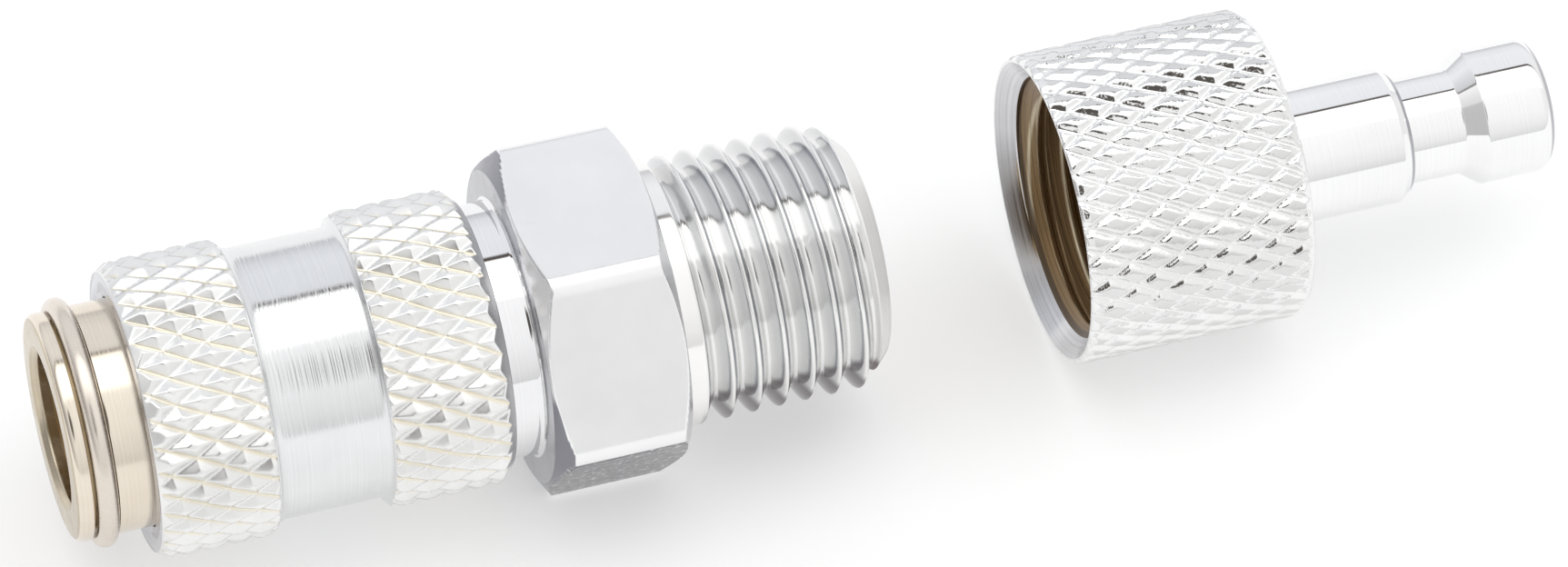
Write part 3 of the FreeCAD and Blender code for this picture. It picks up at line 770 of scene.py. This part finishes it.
plug = {
    "tops": 7.7485, "pitchLine": 0.13,  # radius over the knurl, and how far below it the pitch is counted
    "leftStarts": 38, "rightStarts": 32, "leftLean": 28.5, "rightLean": 29.0,
    "depth": 0.25, "crown": 0.045,  # groove depth, and how much the tops fall off towards the grooves
    "leftWide": 0.27, "rightUpper": 0.17, "rightLower": 0.17,  # share of the pitch that each wall takes
    "wallCap": 1.3, "wallRound": 0.3, "edgeRound": 0.02, "topFrom": 0.80, "topWide": 0.15,
    "perGroove": 18, "step": 0.085, "insideRows": 9,
    "band": {"below": [(49.81, 0.1885), (49.86, 0.1285), (50.25, 0), (60.85, 0), (61.30, 0.3485)],
             "inside": [(49.81, 7.42), (51.2, 7.22), (61.30, 7.25)]},
    "front": 49.81, "back": 61.30, "rim": 7.42, "sink": 7.40, "sinkEnd": 5.72,  # countersink of 45 degrees
    "lip": [(0.21, -0.06), (0.14, 0)], "sinkLead": 0.14,  # points beside the rim, from its corner
    "threadStart": 50.0, "threadEnd": 59.15, "fadeEnd": 58.6, "fade": 0.5, "sinkRound": 0.04,
    "crestGlintFrom": 0.78, "crestGlintWide": 0.2,  # height in the thread from which a crest has a painted highlight
    "edgeGlintWide": 0.10, "edgeGlintOut": 6.5, "edgeGlintIn": 5.73,  # worn edge of the countersink with a painted highlight, by radius
    "rimEnd": 50.62, "darkEnd": 50.75, "darkFade": 0.30,  # ends of the rim's finish and of the painted shade on the first side
    "plated": 0.5, "stepShade": 0.20, "tipShade": 0.3,  # plating in the bore, and painted shade at the ends of step and tip
    "floor": 59.21, "floorTop": 5.70, "floorOut": 5.32, "drillEnd": 59.71, "bore": 1.95, "boreEdge": 0.15,
    "cut": 0.03, "mouthCut": 0.01,  # how far from a corner its rounding starts
    "end": 75.50, "tip": 3.41, "tipRound": 0.83, "tipFront": 71.91, "tipRows": 12,
    "tipGap": 0.03, "tipLead": 0.07, "stepEdge": 0.15, "stepRise": 0.10,  # by the tip, edge of the step
    "neck": 2.66, "neckFront": 68.10, "neckBack": 70.92, "stepOut": 2.99, "shankEnd": 67.50, "rootEdge": 0.06,
    "underBand": [(61.30, 7.25), (61.10, 7.25), (50.6, 7.2)],
    "cols": 256,
}


def plugBand():
    # ring shell of the nut: flat tops between two families of grooves with sloping sides
    d = plug
    s, limit = bandRows(d["band"], d)
    left, right = phases(s[:, None], alongGrooves(s, d), d)
    across = right - np.floor(right)
    left, right = fromGroove(left), fromGroove(right)
    leftWall = np.minimum(0.5 * left / d["leftWide"], d["wallCap"])
    rightWall = np.minimum(np.minimum(across / d["rightUpper"], (1 - across) / d["rightLower"]), d["wallCap"])
    tall = np.clip(softMin(softMin(leftWall, rightWall, d["wallRound"]), 1.0, d["wallRound"]), 0, 1)
    knurl = d["tops"] - d["depth"] * (1 - tall) - d["crown"] * (1 - left * right)
    # painted shade on the flat tops
    top = smoothStep((tall - d["topFrom"]) / d["topWide"]) * (knurl < limit)
    rows, radii, turn = closedBand(s, softMin(knurl, limit, d["edgeRound"]), d["band"], d)
    obj = turnedSkin("plug_nut_band", rows, radii, turn, "plugAxis", ["plugKnurl"],
                     marks={"top": onRows(radii.shape, 0, top)})
    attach(obj, "plug")
    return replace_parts(obj, "plug_nipple")


def innerThread(turn):
    # the female thread: crests at the minor radius, grooves that fade before the floor, and the countersink
    d = plug
    s = np.arange(d["threadStart"], d["threadEnd"], thread["step"])
    phase = threadPhase(s, turn)
    fade = smoothStep((d["fadeEnd"] - s) / d["fade"])[:, None]
    cut = thread["minor"] + (thread["major"] - thread["minor"]) * (1 - threadShape(phase)) * fade
    sink = np.maximum(d["sink"] - (s - d["front"]), d["sinkEnd"])[:, None]
    crest = smoothStep((threadShape(phase) - d["crestGlintFrom"]) / d["crestGlintWide"]) * fade * (cut > sink)
    edgeGlint = smoothStep(1 - np.abs(cut - sink) / d["edgeGlintWide"]) * (sink < d["edgeGlintOut"]) * (sink > d["edgeGlintIn"])
    flank = 1 - np.maximum(crest, edgeGlint)  # painted highlight on the crests and at the worn edge of the countersink
    start = 1 - smoothStep((s - d["darkEnd"]) / d["darkFade"])[:, None]  # painted shade on the first side of the thread
    return s, softMax(cut, sink, d["sinkRound"]), flank, start


def plugBody():
    # closed skin: countersink, inside thread, floor, bore, rounded tip, cone, neck, shank and back of the nut
    d = plug
    cols = d["cols"]
    turn = evenTurns(cols)
    front, back, end, step = (d[k] for k in ("front", "back", "end", "neckFront"))
    tipR, tipRound, bore = (d[k] for k in ("tip", "tipRound", "bore"))
    lip = [(front + along, d["rim"] + out) for along, out in d["lip"]]
    mouth = eased([*lip, (front, d["rim"]), (front, d["sink"]),
                   (front + d["sinkLead"], d["sink"] - d["sinkLead"])], d["mouthCut"])
    cutS, cut, flank, start = innerThread(turn)
    floor = eased([(d["floor"], d["floorTop"]), (d["floor"], d["floorOut"]), (d["drillEnd"], bore),
                   (end - d["boreEdge"], bore), (end, bore + d["boreEdge"]),
                   (end, tipR - tipRound - d["tipGap"])], d["cut"])
    tip = quarterArc((end - tipRound, tipR - tipRound), tipRound, tipRound, d["tipRows"])[::-1]
    shank = eased([(end - tipRound - d["tipLead"], tipR), (d["tipFront"], tipR), (d["neckBack"], d["neck"]),
                   (step, d["neck"]), (step, d["stepOut"]),
                   (step - d["stepEdge"], d["stepOut"] + d["stepRise"]),
                   (d["shankEnd"], tipR), (back + d["rootEdge"], tipR), (back, tipR + d["rootEdge"]),
                   *d["underBand"]], d["cut"])
    rows, radii, rowMat = stackParts([
        (*allRound(mouth, cols), 2), (cutS, cut, 1), (*allRound(floor, cols), 0),
        (*allRound(tip, cols), 0), (*allRound(shank, cols), 0)])
    r = radii[:, 0]
    slack = 0.1  # tells a row from the ones beside it
    rowMat[(rowMat == 1) & (rows < d["rimEnd"])] = 2
    rowMat[(rowMat == 0) & (rows < d["drillEnd"] + slack) & (r < d["floorTop"] + slack)] = 1
    rowMat[(rows < end - d["plated"]) & (r < bore + slack)] = 1  # the drilled bore isn't plated either
    allFlank, edge = np.zeros(radii.shape), np.zeros(radii.shape)
    allFlank[rowMat == 1] = 1.0
    allFlank[len(mouth):len(mouth) + len(cutS)] = flank
    # painted shade at the ends of the step and the tip
    edge[(rows > step - d["stepShade"]) & (rows < step + slack) & (r > d["neck"] + slack)] = 1.0
    edge[(rows > end - d["tipShade"]) & (r > bore + d["boreEdge"] + slack)] = 1.0
    marks = {"flank": allFlank, "start": onRows(radii.shape, len(mouth), start), "edge": edge}
    marks = {key: mark[::-1] for key, mark in marks.items()}  # rows run back, so that the faces look outwards
    obj = turnedSkin("plug_body", rows[::-1], radii[::-1], turn, "plugAxis",
                     ["plugNickel", "threadBrass", "plugRimShade"], np.roll(rowMat[::-1], -1), marks)
    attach(obj, "plug")
    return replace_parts(obj, "plug_nipple")


nutBand = plugBand()
plugSkin = plugBody()
print("plug", len(nutBand.data.polygons), len(plugSkin.data.polygons))


springs = {
    "sleeve_coil": {"start": 12.02, "end": 17.48, "mean": 5.475, "wire": 0.35, "pitch": 1.00,
                    "node": "sleeve_spring", "joint": "sleeve_slide", "anchor": 17.50, "keep": 0.772},
    "valve_coil": {"start": 16.45, "end": 28.01, "mean": 3.375, "wire": 0.30, "pitch": 2.00,
                   "node": "valve_spring", "joint": "valve_slide", "anchor": 28.03, "keep": 0.439},
}
winding = {
    "closed": 0.8, "lay": 2.05, "ground": 0.4,  # close turns at each end, then shares of the wire's radius
    "perTurn": 40, "sides": 14,
}


def coil(name, d):
    # a round wire carried along a helix whose end turns lie close, cut flat where it would leave its room
    closed, lay, sides = winding["closed"], winding["lay"] * d["wire"], winding["sides"]
    low, high = d["start"] + winding["ground"] * d["wire"], d["end"] - winding["ground"] * d["wire"]
    turns = (high - low - 2 * closed * lay) / d["pitch"]
    t = np.linspace(0, turns + 2 * closed, int(winding["perTurn"] * (turns + 2 * closed)))
    ends = np.minimum(t, closed) + np.maximum(0, t - closed - turns)
    s = (low + lay * ends + d["pitch"] * np.clip(t - closed, 0, turns))[:, None]
    w = -evenTurns(sides)  # counted backwards, so that the faces look outwards
    along = np.clip(s + d["wire"] * np.sin(w), d["start"], d["end"])
    along = np.concatenate([np.repeat(s[:1], sides, 1), along, np.repeat(s[-1:], sides, 1)])
    r = np.repeat(d["mean"] + d["wire"] * np.cos(w)[None], len(t), 0)
    r = np.pad(r, ((1, 1), (0, 0)), constant_values=d["mean"])  # both ends close on the wire's own centre
    a = 2 * np.pi * np.pad(t, 1, mode="edge")[:, None]
    verts = axisPoints(along, r, a, "socketAxis")
    obj = putMesh(name, verts, ringFaces(len(a), sides, False), ["springWire"])
    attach(obj, "socket")
    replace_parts(obj, d["node"])
    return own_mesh(obj)


for name, d in springs.items():
    coil(name, d)
print("springs", len(springs))


stage = {
    "floorRadius": 3.0, "floorSides": 96, "floorTone": 0.62, "floorGlow": 0.42,  # radius in metres
    "floorUneven": 0.004, "floorScale": 3.0, "floorRough": 0.9,
    "worldStrength": 1.7,
    "stops": [  # degrees round the axis from the front over the top, and the tone there
        (0, 0.46, 0.46, 0.46), (14, 0.54, 0.54, 0.54), (36, 0.60, 0.60, 0.60), (75, 0.64, 0.64, 0.64),
        (79, 1, 1, 1), (114, 1, 1, 1), (115.5, 0.06, 0.05, 0.045), (118, 0.06, 0.05, 0.045),
        (120, 0.53, 0.54, 0.56), (152, 0.55, 0.56, 0.58), (168, 0.50, 0.51, 0.53), (180, 0.36, 0.36, 0.38)],
    "left": (0.24, 0.237, 0.24), "right": (0.55, 0.55, 0.55), "sideFrom": 0.55, "sideTo": 0.95, "middle": 0.1,
    "patch": (-0.30, -0.60, 0.742), "patchInner": 11.0, "patchOuter": 17.0, "patchTone": (0.06, 0.055, 0.05),
}


def whiteFloor():
    # a flat white disc, a little uneven in tone, lifted to white where it is seen or mirrored
    t = evenTurns(stage["floorSides"])
    rim = np.stack([stage["floorRadius"] * np.cos(t), stage["floorRadius"] * np.sin(t), np.zeros(len(t))], -1)
    mesh = bpy.data.meshes.new("studio_floor")
    mesh.from_pydata(rim.tolist(), [], [list(range(len(t)))])
    obj = putObject("studio_floor", mesh)
    mat, tree, bsdf = nodesOf("studioFloor")
    tone = stage["floorTone"]
    uneven = noiseOn(tree, pointOn(tree), stage["floorScale"])
    rays = addNode(tree, "ShaderNodeLightPath", {})
    seen = rays.outputs["Is Camera Ray"]
    for kind in ("Is Glossy Ray", "Is Transmission Ray"):
        seen = mathOn(tree, "MAXIMUM", seen, rays.outputs[kind])
    looks = {"Base Color": cloudOn(tree, uneven, [tone - stage["floorUneven"]] * 3, [tone] * 3),
             "Roughness": stage["floorRough"], "Specular IOR Level": 0.0, "Emission Color": (1, 1, 1, 1),
             "Emission Strength": mathOn(tree, "MULTIPLY", seen, stage["floorGlow"])}
    for key, value in looks.items():
        feed(tree, bsdf.inputs[key], value)
    mesh.materials.append(mat)


def studioSky():
    # light by direction round the coupling's axis: pale front, bright strip overhead, thin dark edge, cool
    # grey behind, going over to plain grey towards both ends of the axis, with one small dark patch in front
    world = bpy.data.worlds.new("studioSky")
    bpy.context.scene.world = world
    world.use_nodes = True
    tree = world.node_tree
    way = addNode(tree, "ShaderNodeTexCoord", {}).outputs["Generated"]
    x, y, z = addNode(tree, "ShaderNodeSeparateXYZ", {0: way}).outputs
    angle = mathOn(tree, "ARCTAN2", z, mathOn(tree, "MULTIPLY", y, -1.0))
    around = rampOn(tree, spanOn(tree, angle, 0.0, 1.0, 0.0, math.pi),
                    [(degrees / 180, tone) for degrees, *tone in stage["stops"]])
    ends = spanOn(tree, mathOn(tree, "ABSOLUTE", x), 0.0, 1.0, stage["sideFrom"], stage["sideTo"])
    sides = rampOn(tree, x, [(0.0, stage["left"]), (stage["middle"], stage["right"])])
    aim = addNode(tree, "ShaderNodeVectorMath", {0: way, 1: stage["patch"]}, operation="DOT_PRODUCT")
    reach = [math.cos(math.radians(stage[k])) for k in ("patchOuter", "patchInner")]
    patch = spanOn(tree, aim.outputs["Value"], 0.0, 1.0, *reach)
    colour = mixOn(tree, patch, mixOn(tree, ends, around, sides), (*stage["patchTone"], 1))
    back = tree.nodes["Background"]
    feed(tree, back.inputs["Color"], colour)
    feed(tree, back.inputs["Strength"], stage["worldStrength"])


view = {  # angles in degrees, the place in metres, lens and sensor in millimetres
    "azimuth": -18.853, "elevation": 50.07, "roll": 2.099, "from": (-0.08819, -0.25502, 0.32854),
    "lens": 198.26, "sensor": 36.0, "clip": (0.01, 20.0),
}


def lookFrom():
    # the camera looks against the direction that azimuth and elevation give, turned about it by the roll
    az, el, roll = (math.radians(view[k]) for k in ("azimuth", "elevation", "roll"))
    back = np.array([math.sin(az) * math.cos(el), -math.cos(az) * math.cos(el), math.sin(el)])
    flat = np.array([math.cos(az), math.sin(az), 0.0])
    right = flat * math.cos(roll) + np.cross(back, flat) * math.sin(roll)
    m = np.eye(4)
    m[:3] = np.stack([right, np.cross(back, right), back, view["from"]], -1)
    data = bpy.data.cameras.new("photo_camera")
    data.sensor_width, data.lens = view["sensor"], view["lens"]
    data.clip_start, data.clip_end = view["clip"]
    cam = putObject("photo_camera", data)
    cam.matrix_world = Matrix(m.tolist())
    bpy.context.scene.camera = cam


whiteFloor()
studioSky()
lookFrom()
bpy.context.scene.view_settings.view_transform = "Standard"
print("stage set")
